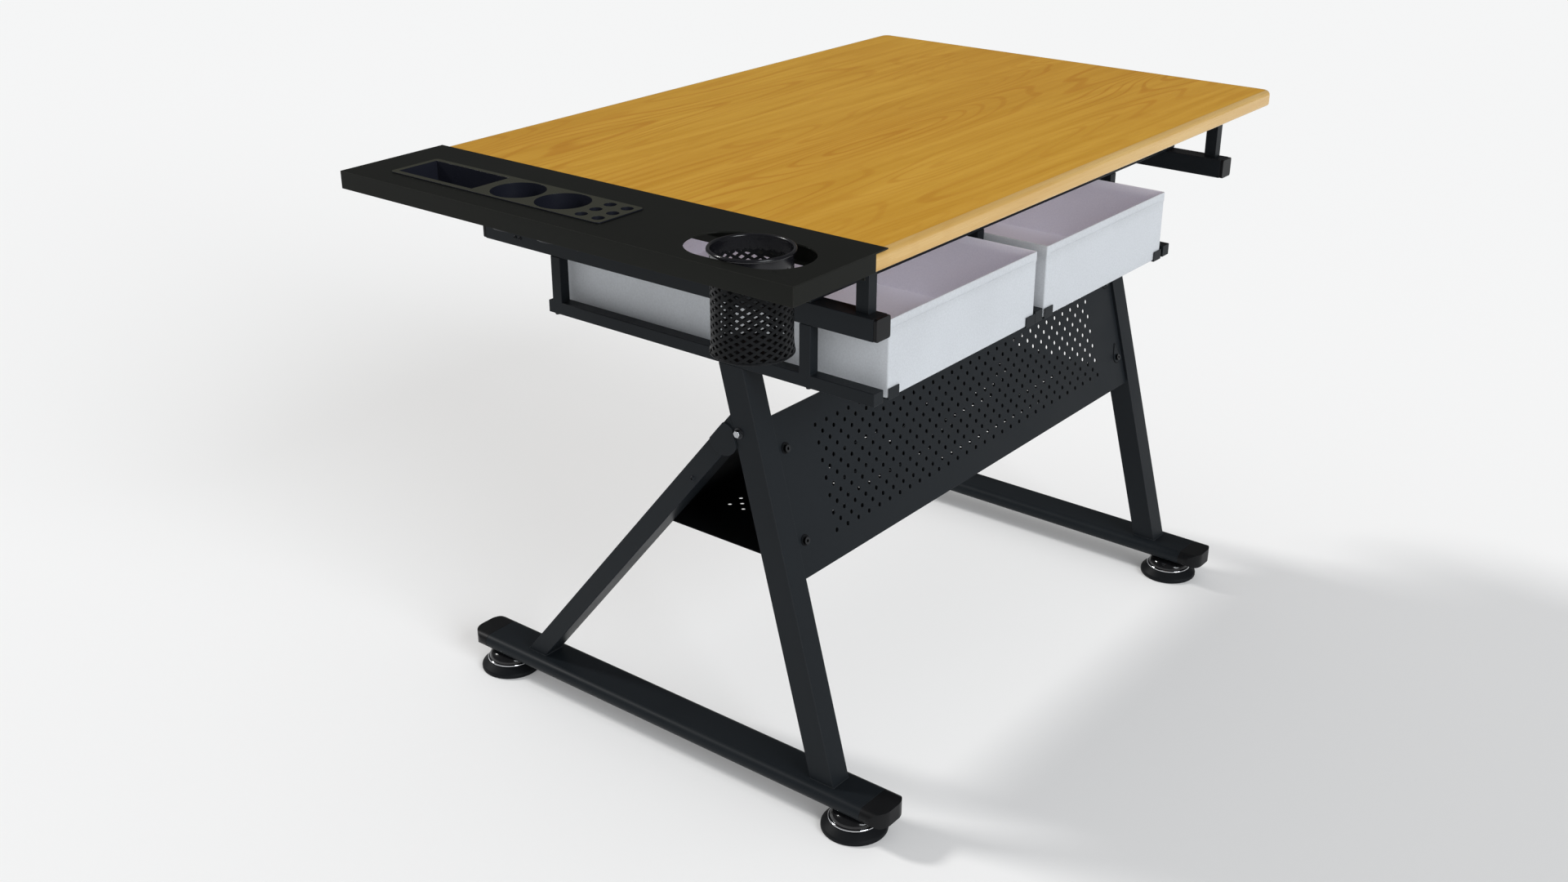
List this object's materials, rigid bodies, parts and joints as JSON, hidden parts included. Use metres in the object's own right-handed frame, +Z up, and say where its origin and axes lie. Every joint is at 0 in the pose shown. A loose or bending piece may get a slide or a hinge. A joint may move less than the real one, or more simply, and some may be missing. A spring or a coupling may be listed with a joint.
{
  "type": "drafting table",
  "caption": "Drafting table on a steel trestle frame, with a tilting wooden top, a side tray with organiser and mesh cup, slide-out fabric drawers and a perforated modesty panel.",
  "frame": {"origin": "on the floor at the centre of the table's bounding box", "axes": "+X to the right of a user who sits in front, +Y towards the back, +Z up"},
  "size_m": [1.056, 0.688, 0.7396],
  "materials": {
    "wood": "satin lacquered, honey coloured with fine cathedral grain",
    "wood_edge": "satin lacquered, lighter than the top",
    "olive_plastic": "matte, olive grey",
    "drawer_fabric": "light grey woven fabric over a stiff board",
    "chrome": "polished",
    "bolt_steel": "dark oxide",
    "black_plastic": "fine moulded texture",
    "foot_rubber": "glossy on the dome, matte on the pad",
    "black_steel": "fine powder coat"
  },
  "bodies": {
    "frame": {"knee_bolt_left": "chrome", "knee_bolt_right": "chrome", "panel_bolt_1": "bolt_steel", "panel_bolt_2": "bolt_steel", "panel_bolt_3": "bolt_steel", "panel_bolt_4": "bolt_steel", "base_cap_left_front": "black_plastic", "base_cap_left_back": "black_plastic", "base_cap_right_front": "black_plastic", "base_cap_right_back": "black_plastic", "rail_cap_left_front": "black_plastic", "rail_cap_left_back": "black_plastic", "rail_cap_right_front": "black_plastic", "rail_cap_right_back": "black_plastic", "cross_bar_front": "black_steel", "cross_bar_back": "black_steel", "drawer_rail_left": "black_steel", "drawer_rail_middle": "black_steel", "drawer_rail_right": "black_steel", "front_panel": "black_steel", "shelf_panel": "black_steel", "base_tube_left": "black_steel", "base_tube_right": "black_steel", "front_leg_left": "black_steel", "front_leg_right": "black_steel", "rear_leg_left": "black_steel", "rear_leg_right": "black_steel", "knee_plate_left": "black_steel", "knee_plate_right": "black_steel", "upper_rail_left": "black_steel", "upper_rail_right": "black_steel", "hinge_post_left": "black_steel", "hinge_post_right": "black_steel", "arm_track_left": "black_steel", "arm_track_right": "black_steel"},
    "top": {"table_top": "wood", "top_edge_band": "wood_edge", "side_tray": "black_steel", "hinge_bracket_left": "black_steel", "hinge_bracket_right": "black_steel", "arm_bracket_left": "black_steel", "arm_bracket_right": "black_steel"},
    "arm_left": {"prop_arm_left": "black_steel"},
    "arm_right": {"prop_arm_right": "black_steel"},
    "left_drawer": {"drawer_left": "drawer_fabric", "runner_left_outer": "black_steel", "runner_left_inner": "black_steel"},
    "right_drawer": {"drawer_right": "drawer_fabric", "runner_right_outer": "black_steel", "runner_right_inner": "black_steel"},
    "cup": {"mesh_cup": "black_steel"},
    "organiser": {"tray_organiser": "olive_plastic"},
    "foot_body_left_front": {"foot_left_front": "foot_rubber", "foot_ring_left_front": "chrome"},
    "foot_body_left_back": {"foot_left_back": "foot_rubber", "foot_ring_left_back": "chrome"},
    "foot_body_right_front": {"foot_right_front": "foot_rubber", "foot_ring_right_front": "chrome"},
    "foot_body_right_back": {"foot_right_back": "foot_rubber", "foot_ring_right_back": "chrome"}
  },
  "joints": [
    {"name": "top_tilt", "type": "hinge", "parent": "frame", "child": "top", "pos_m": [0.0655, -0.28875, 0.698], "axis": [1, 0, 0], "range_deg": [0, 35]},
    {"name": "arm_swing_left", "type": "hinge", "parent": "top", "child": "arm_left", "pos_m": [-0.3401, -0.08875, 0.7], "axis": [1, 0, 0], "range_deg": [-62.2, 0]},
    {"name": "arm_swing_right", "type": "hinge", "parent": "top", "child": "arm_right", "pos_m": [0.4663, -0.08875, 0.7], "axis": [1, 0, 0], "range_deg": [-62.2, 0]},
    {"name": "left_drawer_slide", "type": "slide", "parent": "frame", "child": "left_drawer", "axis": [0, -1, 0], "range_m": [0, 0.22]},
    {"name": "right_drawer_slide", "type": "slide", "parent": "frame", "child": "right_drawer", "axis": [0, -1, 0], "range_m": [0, 0.22]},
    {"name": "cup_lift", "type": "slide", "parent": "top", "child": "cup", "axis": [0, 0, 1], "range_m": [0, 0.115]},
    {"name": "organiser_lift", "type": "slide", "parent": "top", "child": "organiser", "axis": [0, 0, 1], "range_m": [0, 0.05]},
    {"name": "foot_turn_left_front", "type": "hinge", "parent": "frame", "child": "foot_body_left_front", "pos_m": [-0.33565, -0.2874, 0.03], "axis": [0, 0, 1], "continuous": true},
    {"name": "foot_turn_left_back", "type": "hinge", "parent": "frame", "child": "foot_body_left_back", "pos_m": [-0.33565, 0.298, 0.03], "axis": [0, 0, 1], "continuous": true},
    {"name": "foot_turn_right_front", "type": "hinge", "parent": "frame", "child": "foot_body_right_front", "pos_m": [0.47075, -0.2874, 0.03], "axis": [0, 0, 1], "continuous": true},
    {"name": "foot_turn_right_back", "type": "hinge", "parent": "frame", "child": "foot_body_right_back", "pos_m": [0.47075, 0.298, 0.03], "axis": [0, 0, 1], "continuous": true}
  ],
  "couplings": [
    {"joint": "arm_swing_left", "follows": "top_tilt", "ratio": -1.775},
    {"joint": "arm_swing_right", "follows": "top_tilt", "ratio": -1.775}
  ]
}
